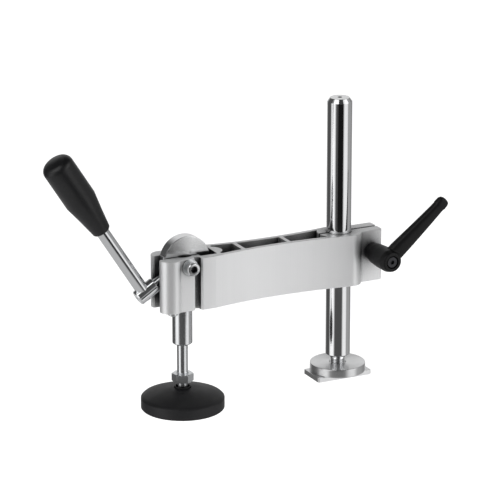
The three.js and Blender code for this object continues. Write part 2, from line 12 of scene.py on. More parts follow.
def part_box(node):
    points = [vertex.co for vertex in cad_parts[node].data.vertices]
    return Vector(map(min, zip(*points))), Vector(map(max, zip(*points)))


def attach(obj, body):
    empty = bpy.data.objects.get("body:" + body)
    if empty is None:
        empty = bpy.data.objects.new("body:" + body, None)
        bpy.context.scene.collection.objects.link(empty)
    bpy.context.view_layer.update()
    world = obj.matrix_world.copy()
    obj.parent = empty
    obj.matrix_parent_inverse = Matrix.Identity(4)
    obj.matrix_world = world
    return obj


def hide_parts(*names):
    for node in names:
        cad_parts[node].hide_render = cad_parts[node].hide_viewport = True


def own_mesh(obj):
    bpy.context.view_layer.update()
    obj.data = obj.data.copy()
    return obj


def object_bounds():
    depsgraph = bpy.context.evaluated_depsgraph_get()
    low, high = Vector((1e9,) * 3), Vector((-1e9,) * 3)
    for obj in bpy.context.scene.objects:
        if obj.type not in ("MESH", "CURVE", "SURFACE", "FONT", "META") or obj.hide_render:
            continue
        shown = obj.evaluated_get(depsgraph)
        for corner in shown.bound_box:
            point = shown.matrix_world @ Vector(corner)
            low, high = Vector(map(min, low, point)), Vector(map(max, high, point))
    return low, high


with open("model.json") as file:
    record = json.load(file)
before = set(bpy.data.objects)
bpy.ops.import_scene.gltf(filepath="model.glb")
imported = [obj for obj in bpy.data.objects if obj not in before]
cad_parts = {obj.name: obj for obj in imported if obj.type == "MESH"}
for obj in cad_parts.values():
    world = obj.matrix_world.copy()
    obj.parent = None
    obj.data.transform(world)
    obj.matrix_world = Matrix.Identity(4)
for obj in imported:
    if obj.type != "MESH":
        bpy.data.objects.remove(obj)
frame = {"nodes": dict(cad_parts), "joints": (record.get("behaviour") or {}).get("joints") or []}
CAD_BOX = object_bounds()
JOINTS = {joint["name"]: joint for joint in frame["joints"]}
MM = 0.001


def foot():
    """The column's axis at the underside of the flange, in millimetres."""
    low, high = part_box("base_flange")
    return Vector(((low.x + high.x) / 2, (low.y + high.y) / 2, low.z)) / MM


HOME = foot()


def metres(point):
    """A point of the builders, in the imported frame."""
    return (Vector(point) + HOME) * MM


def box_mm(node):
    low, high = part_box(node)
    return low / MM - HOME, high / MM - HOME


def joint_mm(name):
    return Vector(JOINTS[name]["pos_m"]) / MM - HOME


# ---------------------------------------------------------------- frames

PIVOT = joint_mm("lever_swing")
CLAMP = joint_mm("clamp_turn")
PLUNGER_X = PIVOT.x
CAM_LOW, CAM_HIGH = box_mm("eccentric_disc")
CAM_CENTRE = (CAM_LOW + CAM_HIGH) / 2
CAM_RADIUS = (CAM_HIGH.x - CAM_LOW.x) / 2
LEVER_ANGLE = math.radians(212.6)  # of the knuckle's axis, from +X towards +Z

OUT = Matrix.Rotation(math.pi / 2, 4, "X")  # local +Z points at the front, -Y


def at(x=0.0, y=0.0, z=0.0):
    return Matrix.Translation((x, y, z))


PIVOT_FRAME = at(PIVOT.x, 0, PIVOT.z) @ OUT
CLAMP_FRAME = at(CLAMP.x, 0, CLAMP.z) @ OUT
LEVER_FRAME = PIVOT_FRAME @ Matrix.Rotation(LEVER_ANGLE, 4, "Z")
KNUCKLE_FRAME = LEVER_FRAME @ Matrix.Rotation(math.pi / 2, 4, "Y")
ROD_OFFSET, ROD = 47.8, 6.5
ROD_FRAME = LEVER_FRAME @ at(ROD_OFFSET) @ OUT
PLUNGER_FRAME = at(PLUNGER_X)


# ---------------------------------------------------------------- outlines

def arc(x, y, radius, start, end, steps):
    """Points of an arc, both ends included; angles in degrees."""
    angles = [math.radians(start + (end - start) * i / steps) for i in range(steps + 1)]
    return [(x + radius * math.cos(a), y + radius * math.sin(a)) for a in angles]


FLAT_CORNER = math.radians(12)


def rounded(points, radius, closed=False, steps=4):
    """The same outline with each corner turned into a small arc, except for nearly flat corners."""
    out = []
    count = len(points)
    for i, point in enumerate(points):
        here = Vector(point)
        if not closed and i in (0, count - 1):
            out.append(tuple(here))
            continue
        before = Vector(points[i - 1]) - here
        after = Vector(points[(i + 1) % count]) - here
        if min(before.length, after.length) < 1e-6:
            continue
        turn = math.pi - before.angle(after)
        if turn < FLAT_CORNER:
            out.append(tuple(here))
            continue
        reach = min(radius * math.tan(turn / 2), 0.45 * before.length, 0.45 * after.length)
        first = here + before.normalized() * reach
        last = here + after.normalized() * reach
        for step in range(steps + 1):
            t = step / steps
            out.append(tuple(first * (1 - t) ** 2 + here * 2 * t * (1 - t) + last * t * t))
    return out


def mirrored(points):
    return [(x, -y) for x, y in reversed(points)]


# ---------------------------------------------------------------- meshes

def mesh_object(name, vertices, faces):
    mesh = bpy.data.meshes.new(name)
    mesh.from_pydata([metres(v) for v in vertices], [], faces)
    mesh.validate()
    mesh.update()
    piece = bpy.data.objects.new(name, mesh)
    bpy.context.scene.collection.objects.link(piece)
    return piece


def turned(name, profile, placed=None, segments=96, wave=None):
    """A body of revolution about local Z from (radius, z) points.

    wave(radius, z, angle), if given, says what the radius is there.
    """
    placed = placed or Matrix.Identity(4)
    vertices, rings = [], []
    for radius, z in profile:
        if radius < 1e-6:
            rings.append([len(vertices)])
            vertices.append(placed @ Vector((0, 0, z)))
            continue
        rings.append(range(len(vertices), len(vertices) + segments))
        for i in range(segments):
            angle = 2 * math.pi * i / segments
            r = wave(radius, z, angle) if wave else radius
            vertices.append(placed @ Vector((r * math.cos(angle), r * math.sin(angle), z)))
    open_end = len(rings[0]) > 1
    faces = []
    pairs = list(zip(rings, rings[1:]))
    if open_end:
        pairs.append((rings[-1], rings[0]))
    for lower, upper in pairs:
        for i in range(segments):
            j = (i + 1) % segments
            if len(lower) == 1 and len(upper) == 1:
                continue
            if len(lower) == 1:
                faces.append((lower[0], upper[j], upper[i]))
            elif len(upper) == 1:
                faces.append((lower[i], lower[j], upper[0]))
            else:
                faces.append((lower[i], lower[j], upper[j], upper[i]))
    return outward(mesh_object(name, vertices, faces))


def outward(piece):
    """Turns every face out."""
    mesh = piece.data
    volume = 0.0
    mesh.calc_loop_triangles()
    for triangle in mesh.loop_triangles:
        a, b, c = (mesh.vertices[i].co for i in triangle.vertices)
        volume += a.dot(b.cross(c))
    if volume < 0:
        mesh.flip_normals()
    return piece


def evaluated_mesh(piece):
    """The piece's mesh with its modifiers applied, or a curve's shape as a mesh."""
    graph = bpy.context.evaluated_depsgraph_get()
    return bpy.data.meshes.new_from_object(piece.evaluated_get(graph))


def weld(piece):
    modifier = piece.modifiers.new("weld", "WELD")
    modifier.merge_threshold = 2e-6
    mesh = evaluated_mesh(piece)
    piece.modifiers.clear()
    piece.data = mesh


def prism(name, contours, bottom, top, edge, placed=None):
    """A flat outline with holes, drawn out along local Z, with a small rounded edge all round."""
    curve = bpy.data.curves.new(name, "CURVE")
    curve.dimensions = "2D"
    curve.fill_mode = "BOTH"
    curve.extrude = ((top - bottom) / 2 - edge) * MM
    curve.bevel_depth = edge * MM
    curve.bevel_resolution = 2
    curve.offset = -edge * MM
    for contour in contours:
        spline = curve.splines.new("POLY")
        spline.points.add(len(contour) - 1)
        for point, (x, y) in zip(spline.points, contour):
            point.co = (x * MM, y * MM, 0, 1)
        spline.use_cyclic_u = True
    flat = bpy.data.objects.new(name, curve)
    bpy.context.scene.collection.objects.link(flat)
    bpy.context.view_layer.update()
    mesh = evaluated_mesh(flat)
    mesh.name = name
    bpy.data.objects.remove(flat)
    piece = bpy.data.objects.new(name, mesh)
    bpy.context.scene.collection.objects.link(piece)
    placed = (placed or Matrix.Identity(4)) @ at(z=(bottom + top) / 2)
    in_metres = placed.copy()
    in_metres.translation = metres(placed.translation)
    piece.data.transform(in_metres)
    weld(piece)
    return outward(piece)


def combine(piece, tools, operation="DIFFERENCE"):
    """Cuts the tools out of the piece, or joins them to it, and removes them."""
    for tool in tools:
        modifier = piece.modifiers.new("combine", "BOOLEAN")
        modifier.operation = operation
        modifier.solver = "EXACT"
        modifier.object = tool
    mesh = evaluated_mesh(piece)
    piece.modifiers.clear()
    piece.data = mesh
    for tool in tools:
        bpy.data.objects.remove(tool)
    return piece


def bar(radius, start, end, placed, sides=48):
    """A plain bar for cutting."""
    return turned("tool", [(0, start), (radius, start), (radius, end), (0, end)], placed, sides)


def hex_outline(across_flats, turn=0.0):
    return arc(0, 0, across_flats / math.sqrt(3), turn + 90, turn + 390, 5)


def soften(piece, width, angle=40):
    """Small rounded edges on a cut piece."""
    modifier = piece.modifiers.new("edges", "BEVEL")
    modifier.width = width * MM
    modifier.segments = 2
    modifier.limit_method = "ANGLE"
    modifier.angle_limit = math.radians(angle)
    modifier.harden_normals = True


def finish_piece(piece, material, body, node, sharp=32):
    """Shades the piece, rides it on its body and lets it stand for its CAD node."""
    piece.data.materials.clear()
    piece.data.materials.append(material)
    piece.data.shade_smooth()
    piece.data.set_sharp_from_angle(angle=math.radians(sharp))
    # broad faces shade flat, right up to their rounded edges
    flat = piece.modifiers.new("flat_faces", "WEIGHTED_NORMAL")
    flat.keep_sharp = True
    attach(piece, body)
    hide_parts(node)


# ---------------------------------------------------------------- materials

class Nodes:
    """A node tree with short ways to add to it."""

    def __init__(self, tree, space="Object"):
        self.tree = tree
        self.place = self.add("TexCoord").outputs[space]

    def feed(self, socket, value):
        """Links a value that comes from a node, or sets a plain one. A plain colour has three numbers."""
        if isinstance(value, bpy.types.NodeSocket):
            self.tree.links.new(value, socket)
        elif socket.type == "RGBA":
            socket.default_value = (*value, 1)
        else:
            socket.default_value = value

    def add(self, kind, values=None, **settings):
        node = self.tree.nodes.new("ShaderNode" + kind)
        for key, value in settings.items():
            setattr(node, key, value)
        for key, value in (values or {}).items():
            self.feed(node.inputs[key], value)
        return node

    def math(self, operation, *values):
        return self.add("Math", dict(enumerate(values)), operation=operation).outputs[0]

    def scaled(self, x, y, z, source=None):
        """Object space in millimetres, times a factor for each axis."""
        values = {"Vector": source or self.place, "Scale": (x / MM, y / MM, z / MM)}
        return self.add("Mapping", values).outputs[0]

    def noise(self, vector, scale=1.0, detail=4.0, rough=0.55):
        values = {"Vector": vector, "Scale": scale, "Detail": detail, "Roughness": rough}
        return self.add("TexNoise", values).outputs["Fac"]

    def spread(self, value, low, high, start=0.3, end=0.7):
        values = {"Value": value, "From Min": start, "From Max": end, "To Min": low, "To Max": high}
        return self.add("MapRange", values).outputs[0]

    def step(self, value, start, end):
        """Runs smoothly from 0 to 1."""
        values = {"Value": value, "From Min": start, "From Max": end}
        return self.add("MapRange", values, interpolation_type="SMOOTHSTEP").outputs[0]

    def mix(self, kind, factor, a, b):
        """Runs from a to b, which are colours (kind RGBA) or numbers (kind VALUE)."""
        data_type = {"RGBA": "RGBA", "VALUE": "FLOAT"}[kind]
        node = self.add("Mix", {"Factor": factor}, data_type=data_type)
        for name, value in (("A", a), ("B", b)):
            socket = [s for s in node.inputs if s.name == name and s.type == kind][0]
            self.feed(socket, value)
        return [s for s in node.outputs if s.type == kind][0]

    def blend(self, factor, a, b):
        return self.mix("RGBA", factor, a, b)

    def grey(self, factor, a, b):
        return self.mix("VALUE", factor, a, b)

    def bump(self, height, distance, strength=1.0, normal=None):
        values = {"Height": height, "Distance": distance * MM, "Strength": strength}
        if normal:
            values["Normal"] = normal
        return self.add("Bump", values).outputs[0]

    def open_share(self, reach):
        """How open the surface is to its surroundings: near 0 deep in a recess, 1 on an outer face. The
        aluminium uses it to paint shade into its colour.
        """
        enclosed, clear = 0.4, 0.92
        node = self.add("AmbientOcclusion", {"Distance": reach * MM}, samples=8)
        values = {"Value": node.outputs["AO"], "From Min": enclosed, "From Max": clear}
        return self.add("MapRange", values).outputs[0]


class Finish(Nodes):
    """A material, with the record's slot that it belongs to."""

    def __init__(self, name, slot):
        self.material = bpy.data.materials.new(name)
        self.material.use_nodes = True
        self.material["slot"] = slot
        super().__init__(self.material.node_tree)
        self.shader = self.tree.nodes["Principled BSDF"]

    def set(self, **values):
        names = {"color": "Base Color", "rough": "Roughness", "metal": "Metallic", "normal": "Normal",
                 "aniso": "Anisotropic", "tangent": "Tangent", "ior": "IOR", "specular": "Specular IOR Level",
                 "turn": "Anisotropic Rotation"}
        for key, value in values.items():
            self.feed(self.shader.inputs[names[key]], value)
        return self.material


def polished(name, color, rough, slot="chrome", along=(0.02, 0.02, 2.0), bump=0.0006, haze=0.05):
    """Plated, polished steel: faint turning marks, a light haze of fingerprints, tiny pits."""
    n = Finish(name, slot)
    marks = n.noise(n.scaled(*along), 1.5, 6)
    smears = n.noise(n.scaled(0.05, 0.05, 0.03), 1.0, 5, 0.6)
    pits = n.noise(n.scaled(1.2, 1.2, 1.2), 1.0, 2)
    shade = n.spread(smears, 0, 1)
    tone = n.blend(shade, color, tuple(c * 0.95 for c in color))
    roughness = n.math("ADD", n.spread(smears, rough, rough + haze), n.spread(marks, -0.01, 0.02))
    normal = n.bump(marks, bump, 0.6)
    normal = n.bump(pits, bump / 2, 0.25, normal)
    return n.set(color=tone, rough=roughness, metal=1.0, normal=normal)


def facing(name, color, rough, centre, axis, slot="turned_steel", aniso=0.8, painted_fan=0.0, painted_fan_at=0.0):
    """Lathe-turned metal: fine rings around an axis, with a painted highlight fanning out from the middle.

    The fan share paints shade into the colour of the sectors that lie across the direction given in degrees,
    on a face whose axis is Y.
    """
    n = Finish(name, slot)
    pitch = 0.45
    keep = [0 if a == axis else 1 / MM for a in "XYZ"]
    offset = [-c * k for c, k in zip(metres(centre), keep)]
    flat = n.add("Mapping", {"Vector": n.place, "Location": offset, "Scale": keep}).outputs[0]
    reach = n.add("VectorMath", {0: flat}, operation="LENGTH").outputs["Value"]
    line = n.add("CombineXYZ", {"X": n.math("MULTIPLY", reach, 1 / pitch)}).outputs[0]
    rings = n.noise(line, 1.6, 5, 0.7)
    patches = n.noise(n.scaled(0.09, 0.09, 0.09), 1.0, 4)
    tangent = n.add("Tangent", direction_type="RADIAL", axis=axis).outputs[0]
    tone = n.blend(n.spread(patches, 0, 1), color, tuple(c * 0.92 for c in color))
    # painted highlight and shade: the fan's bright and dark sectors are painted into the colour
    if painted_fan:
        part = n.add("SeparateXYZ", {0: flat}).outputs
        bearing_round = n.math("SUBTRACT", n.math("ARCTAN2", part["Z"], part["X"]), math.radians(painted_fan_at))
        painted_wedge = n.math("POWER", n.math("ABSOLUTE", n.math("COSINE", bearing_round)), 3.0)
        tone = n.blend(n.spread(painted_wedge, painted_fan, 0, 0, 1), tone, tuple(c * 0.3 for c in color))
    roughness = n.math("ADD", n.spread(rings, rough - 0.04, rough + 0.08), n.spread(patches, 0, 0.03))
    return n.set(color=tone, rough=roughness, metal=1.0, aniso=aniso, tangent=tangent, turn=0.25,
                 normal=n.bump(rings, 0.003, 0.5))


def extruded_aluminium():
    """Satin anodised profile: draw lines up the sides, finer saw marks across the cut ends, and painted shade
    darkening the recesses.
    """
    n = Finish("satin_aluminium", "aluminium")
    draw = n.noise(n.scaled(1.3, 1.3, 0.004), 1.0, 7, 0.6)
    grain = n.noise(n.scaled(3.0, 3.0, 3.0), 1.0, 3)
    saw = n.noise(n.scaled(2.2, 0.03, 0.03), 1.0, 5, 0.7)
    clouds = n.noise(n.scaled(0.018, 0.018, 0.012), 1.0, 3)
    up = n.add("SeparateXYZ", {0: n.add("TexCoord").outputs["Normal"]}).outputs["Z"]
    end = n.spread(n.math("ABSOLUTE", up), 0, 1, 0.75, 0.85)
    lines = n.grey(end, n.spread(draw, 0, 1), n.spread(saw, 0, 1))
    side = n.blend(n.spread(clouds, 0, 1), (0.95, 0.952, 0.957), (0.92, 0.923, 0.93))
    tone = n.blend(n.math("MULTIPLY", lines, 0.3), side, (0.87, 0.873, 0.88))
    tone = n.blend(n.open_share(24), (0.05, 0.051, 0.054), tone)  # painted shade: ambient occlusion darkens the colour in the recesses
    roughness = n.math("ADD", n.spread(lines, 0.4, 0.46, 0, 1), n.math("MULTIPLY", end, 0.04))
    normal = n.bump(lines, 0.0016, 0.5)
    normal = n.bump(grain, 0.0012, 0.35, normal)
    return n.set(color=tone, rough=roughness, metal=0.78, normal=normal)


def zinc():
    """Zinc plating: cloudy, with a fine crystal grain."""
    n = Finish("zinc_plated", "zinc")
    patches = n.noise(n.scaled(0.25, 0.25, 0.25), 1.0, 5, 0.65)
    fine = n.noise(n.scaled(4, 4, 4), 1.0, 3)
    tone = n.blend(n.spread(patches, 0, 1), (0.93, 0.945, 0.955), (0.84, 0.86, 0.875))
    roughness = n.spread(patches, 0.26, 0.36)
    return n.set(color=tone, rough=roughness, metal=1.0, normal=n.bump(fine, 0.002, 0.35))


def black(name, slot, color, rough, grain, depth, metal=0.0, specular=0.5):
    """Black moulding or coating: fine grain, faint cloudiness and a little dust in the low spots."""
    n = Finish(name, slot)
    fine = n.noise(n.scaled(grain, grain, grain), 1.0, 3, 0.6)
    clouds = n.noise(n.scaled(0.06, 0.06, 0.06), 1.0, 4)
    dust = n.noise(n.scaled(0.8, 0.8, 0.8), 1.0, 6, 0.7)
    tone = n.blend(n.spread(clouds, 0, 1), color, tuple(c * 0.75 for c in color))
    tone = n.blend(n.spread(dust, 0, 0.12, 0.6, 0.8), tone, (0.16, 0.16, 0.165))
    roughness = n.math("ADD", n.spread(clouds, rough - 0.04, rough + 0.05), n.spread(fine, -0.02, 0.03))
    return n.set(color=tone, rough=roughness, metal=metal, specular=specular, normal=n.bump(fine, depth, 0.6))


def wire():
    """Drawn spring wire, streaked along its length."""
    n = Finish("spring_wire", "spring_steel")
    streaks = n.noise(n.scaled(1.5, 1.5, 0.5), 1.0, 5)
    tone = n.blend(n.spread(streaks, 0, 1), (0.56, 0.57, 0.59), (0.42, 0.43, 0.45))
    roughness = n.spread(streaks, 0.26, 0.38)
    return n.set(color=tone, rough=roughness, metal=1.0, normal=n.bump(streaks, 0.003, 0.4))


def bearing_bronze():
    """Sintered bronze with open pores."""
    n = Finish("bearing_bronze", "bronze")
    pores = n.noise(n.scaled(3, 3, 3), 1.0, 4)
    tone = n.blend(n.spread(pores, 0, 1), (0.72, 0.5, 0.24), (0.55, 0.37, 0.17))
    return n.set(color=tone, rough=n.spread(pores, 0.34, 0.5), metal=1.0, normal=n.bump(pores, 0.004, 0.5))


CHROME = polished("polished_chrome", (0.9, 0.905, 0.915), 0.055)
LEVER_CHROME = polished("lever_chrome", (0.86, 0.87, 0.885), 0.06, along=(0.3, 0.3, 0.3))
GROUND_CHROME = polished("ground_chrome", (0.84, 0.85, 0.865), 0.17, along=(0.05, 0.05, 5.0), bump=0.0012)
# the disc's fan of light and shade is painted into its colour
DISC_FACE = facing("turned_disc", (0.97, 0.975, 0.98), 0.15, CAM_CENTRE, "Y", slot="chrome", aniso=0.5,
                   painted_fan=0.6, painted_fan_at=68)
FLANGE_STEEL = facing("turned_flange", (0.86, 0.865, 0.87), 0.3, (0, 0, 0), "Z", aniso=0.7)
KEY_STEEL = polished("ground_steel", (0.94, 0.943, 0.95), 0.32, "turned_steel", (0.1, 3.0, 3.0), 0.002, 0.08)
BUTTON_STEEL = facing("hardened_button", (0.6, 0.6, 0.61), 0.28, (PLUNGER_X, 0, 0), "Z")
ALUMINIUM = extruded_aluminium()
ZINC = zinc()
DARK_ZINC = black("oxide_steel", "zinc", (0.06, 0.06, 0.065), 0.34, 3.0, 0.003, metal=0.8)
GRIP_PLASTIC = black("grip_plastic", "black_plastic", (0.01, 0.01, 0.011), 0.34, 2.2, 0.006, specular=0.4)
PAD_PLASTIC = black("pad_plastic", "black_plastic", (0.013, 0.013, 0.0145), 0.5, 1.6, 0.012, specular=0.4)
RUBBER = black("pad_rubber", "black_rubber", (0.018, 0.018, 0.019), 0.75, 1.2, 0.02, specular=0.3)
LEVER_COAT = black("lever_coat", "black_coat", (0.007, 0.007, 0.0075), 0.4, 2.6, 0.012, specular=0.25)
SPRING_WIRE = wire()
BRONZE = bearing_bronze()
BRIGHT_ZINC = polished("bright_zinc", (0.9, 0.91, 0.92), 0.14, "zinc", (0.4, 0.4, 0.4))


# ---------------------------------------------------------------- base and column

def build_key():
    low, high = box_mm("t_slot_key")
    x, y = high.x, high.y
    corner, hole, sides = 1.2, 7.9, 48
    outline = [(x, y - corner), (x - corner, y), (corner - x, y), (-x, y - corner),
               (-x, corner - y), (corner - x, -y), (x - corner, -y), (x, corner - y)]
    outline = rounded(outline, 0.4, closed=True, steps=2)
    bore = arc(0, 0, hole, 0, 360 - 360 / sides, sides - 1)
    piece = prism("slot_key", [outline, bore], low.z, high.z, 0.35)
    finish_piece(piece, KEY_STEEL, "base", "t_slot_key")


def build_flange():
    low, high = box_mm("base_flange")
    r, bore = high.x, 8.0
    profile = [(bore + 0.5, low.z), (r, low.z), (r, high.z), (bore + 0.8, high.z), (bore, high.z - 0.8),
               (bore, low.z + 0.5)]
    piece = turned("flange", rounded(profile, 1.0, closed=True), segments=160)
    finish_piece(piece, FLANGE_STEEL, "flange", "base_flange", sharp=50)


def thread(minor, major, bottom, top, pitch):
    """The stepped profile of a V thread, from bottom to top."""
    points = []
    turns = int((top - bottom) / pitch)
    for i in range(turns):
        z = bottom + i * pitch
        points += [(minor, z + 0.05 * pitch), (major, z + 0.45 * pitch), (major, z + 0.58 * pitch)]
    return points


def build_column():
    low, high = box_mm("column")
    r, shoulder, neck, pitch = high.x, 17.0, 7.8, 2.0
    root, thread_end, centre_hole = neck - 1.2, 15.8, 2.4
    grooves = thread(root, neck, low.z + 1, thread_end, pitch)
    profile = [(0, low.z), (neck - 1.4, low.z)] + grooves + [(root, thread_end + 0.1), (root, shoulder)]
    body = [(root, shoulder), (r - 1, shoulder), (r, shoulder + 1), (r, high.z - 4), (r - 2.7, high.z),
            (centre_hole, high.z), (0.2, high.z - centre_hole), (0, high.z - centre_hole)]
    profile += rounded(body, 0.45)[1:]
    piece = turned("column_bar", profile, segments=128)
    finish_piece(piece, CHROME, "column", "column", sharp=24)


# ---------------------------------------------------------------- arm

WAIST_X, WAIST, FULL = -75.0, 13.5, 20.2  # where the arm is narrowest, and half its narrow and full widths
FORK_SIDE_X, BOSS_SIDE_X = -146.0, 5.0  # where the drawn-in flank reaches its full width again
WALL = 4.8
SLOT, SLIT = 6.8, 1.4  # half widths of the fork's slot and of the slit between the lugs
FORK_FLAT = 18.3


def side_y(x):
    """The flank: a parabola either side of the waist."""
    reach = BOSS_SIDE_X if x > WAIST_X else FORK_SIDE_X
    share = (x - WAIST_X) / (reach - WAIST_X)
    return WAIST + (FULL - WAIST) * share * share


def side(start, end, steps, inset=0.0):
    xs = [start + (end - start) * i / steps for i in range(steps + 1)]
    return [(x, side_y(x) - inset) for x in xs]


def fork_side():
    """From the flank round the groove and the nose to the slot's mouth, on the +Y side."""
    nose_x, nose_y, nose_r, mouth_y = -189.2, 9.3, 11.5, 8.3
    groove_x, groove_r = -164, 3
    flat_end = math.degrees(math.asin((FORK_FLAT - nose_y) / nose_r))
    mouth = 180 + math.degrees(math.asin((nose_y - mouth_y) / nose_r))
    mouth_x = nose_x - math.sqrt(nose_r ** 2 - (nose_y - mouth_y) ** 2)
    edge = [(groove_x + 4.5, FULL), (groove_x + groove_r, FULL - 1.5)]
    groove = arc(groove_x, 16, groove_r, 360, 180, 14) + [(groove_x - groove_r, FORK_FLAT)]
    nose = arc(nose_x, nose_y, nose_r, flat_end, mouth, 32)
    return edge + groove + nose + [(mouth_x + 1.8, SLOT)]


def slot_side():
    """Inside the fork: the slot's wall, the plunger's bore and the room behind it."""
    bore, room, room_start, room_end = 10.1, 12, -158, -140.5
    turn = math.degrees(math.asin(SLOT / bore))
    wall = arc(PLUNGER_X, 0, bore, 180 - turn, turn, 18)
    return wall + [(room_start, SLOT), (room_start, room), (room_end, room)]


def boss_side():
    """The lug and the boss's round corner, which runs on from the flank without a crease."""
    lug, lug_end, edge, radius = 12.5, 42.5, 1.5, 12.9
    slope = math.atan(2 * (FULL - WAIST) / (BOSS_SIDE_X - WAIST_X))
    x = BOSS_SIDE_X + radius * math.sin(slope)
    y = FULL - radius * math.cos(slope)
    start = math.degrees(math.asin((lug - y) / radius))
    corner = arc(x, y, radius, start, 90 + math.degrees(slope), 18)
    return [(lug_end, SLIT), (lug_end, lug - edge), (lug_end - edge, lug)] + corner


def column_hollow():
    """The hollow beside the column: it ends on a ring that the slit cuts through to the column's bore."""
    ring, bore, start = 22.0, 12.6, -58
    tries = [x / 10 for x in range(int(-10 * ring), 0)]
    meet_x = next(x for x in tries if x ** 2 + (side_y(x) - WALL) ** 2 < ring ** 2)
    meet = 180 - math.degrees(math.atan2(side_y(meet_x) - WALL, -meet_x))
    in_ring = math.degrees(math.asin(SLIT / ring))
    in_bore = math.degrees(math.asin(SLIT / bore))
    wall = side(start, meet_x, 24, WALL) + arc(0, 0, ring, meet, 180 - in_ring, 10)
    return wall + arc(0, 0, bore, 180 - in_bore, in_bore, 40)


def arm_contours():
    """The arm's outline and its two closed pockets, seen from above."""
    upper = boss_side() + side(BOSS_SIDE_X, FORK_SIDE_X, 76)[1:] + fork_side() + slot_side()
    back = column_hollow()
    outline = upper + mirrored(upper) + mirrored(back) + back
    long_pocket = side(-108.5, -62.5, 24, WALL)
    boss_r, boss_x, web_x = 11, -141, -136
    reach = web_x - boss_x
    turn = math.degrees(math.acos(reach / boss_r))
    short_pocket = side(web_x, -113, 12, WALL)
    contours = [outline, long_pocket + mirrored(long_pocket),
                short_pocket + mirrored(short_pocket) + arc(boss_x, 0, boss_r, -turn, turn, 20)]
    return [rounded(contour, 0.7, closed=True, steps=3) for contour in contours]


def build_arm():
    low, high = box_mm("arm")
    nose_low, nose_high = box_mm("nose_screw")
    nose = (nose_low + nose_high) / 2
    piece = prism("arm_profile", arm_contours(), low.z, high.z, 0.55)
    past, spot = 30, 8.5
    seat = FORK_FLAT - 0.06  # a hair under the flat, so that the cut shares no plane with it
    tools = [
        bar(spot, seat, past, PIVOT_FRAME, 64),
        bar(spot, -past, -seat, PIVOT_FRAME, 64),
        bar(4.1, -past, past, PIVOT_FRAME, 40),
        bar(4.2, -past, past, CLAMP_FRAME, 40),
        bar(2.6, low.z - 1, low.z + 13, at(nose.x, nose.y), 24),
    ]
    combine(piece, tools)
    finish_piece(piece, ALUMINIUM, "arm", "arm", sharp=28)


# ---------------------------------------------------------------- fasteners

def darken_recess(piece, placed, radius, bottom):
    """A driver's recess gets the dark oxide finish on its own faces: partly the real unplated steel, partly
    painted shade inside the recess.
    """
    piece.data.materials.append(DARK_ZINC)
    back = placed.inverted()
    for face in piece.data.polygons:
        place = back @ (face.center / MM - HOME)
        if math.hypot(place.x, place.y) < radius and place.z > bottom:
            face.material_index = 1


def knurled(low, high, depth, count, z_low, z_high):
    """Radius change that cuts straight flutes into the side of a screw head."""
    def wave(radius, z, angle):
        if radius < low or radius > high or not z_low < z < z_high:
            return radius
        return radius - depth * (0.5 + 0.5 * math.cos(count * angle))
    return wave


M8_PITCH, M8_FLATS, M8_NUT, M8_CLEAR = 1.25, 13, 6.5, 4.1  # the nut's height, and a clearance hole's radius
WASHER, WASHER_R = 1.6, 8.0


def build_socket_screw(name, node, body, placed, tail, seat, head_r, head_h, socket):
    r, top, thread_end = 4.0, seat + head_h, tail + 14
    shank = [(0, tail), (r - 0.8, tail)] + thread(r - 0.65, r, tail + 0.6, thread_end, M8_PITCH)
    shank += [(r, thread_end + 0.6)]
    head = [(r, seat), (head_r, seat), (head_r, seat + 0.7), (head_r, top - 0.9), (head_r - 0.9, top),
            (0, top)]
    profile = shank + rounded(head, 0.35, steps=3)
    wave = knurled(head_r - 0.02, head_r + 0.02, 0.22, 36, seat + 0.6, top - 0.7)
    piece = turned(name, profile, placed, 144, wave)
    recess = prism("recess", [hex_outline(socket, 10)], top - head_h / 2, top + 2, 0.01, placed)
    mouth = turned("mouth", [(0, top - 0.35), (socket / 2 + 0.15, top - 0.35), (socket / 2 + 0.75, top + 0.2),
                             (0, top + 0.2)], placed, 48)
    combine(piece, [recess, mouth])
    finish_piece(piece, BRIGHT_ZINC, body, node, sharp=30)
    # painted shade, partly real dark oxide: the socket's inside gets the dark finish
    darken_recess(piece, placed, socket / math.sqrt(3) + 0.1, top - head_h / 2 - 0.1)


def build_washer(name, node, placed, start, material=ZINC):
    inner, end = 4.2, start + WASHER
    profile = [(inner, start), (WASHER_R, start), (WASHER_R, end), (inner, end)]
    piece = turned(name, rounded(profile, 0.3, closed=True, steps=3), placed, 72)
    finish_piece(piece, material, "arm", node)


def build_nut(name, node, body, placed, flats, bore, start, end, turn=0.0):
    corner = flats / math.sqrt(3)
    piece = prism(name, [hex_outline(flats, turn)], start, end, 0.12, placed)
    lift = (corner - flats / 2) * 0.6
    face, past = flats / 2 - 0.3, corner + 0.2
    cone = [(0, start), (face, start), (past, start + lift), (past, end - lift), (face, end), (0, end)]
    combine(piece, [turned("cone", cone, placed, 96)], "INTERSECT")
    dish = 0.7
    mouth = bore + dish
    bored = [(0, start - 1), (mouth + 1, start - 1), (mouth, start), (bore, start + dish),
             (bore, end - dish), (mouth, end), (mouth + 1, end + 1), (0, end + 1)]
    combine(piece, [turned("bored", bored, placed, 64)])
    soften(piece, 0.12, 25)
    finish_piece(piece, ZINC, body, node, sharp=24)


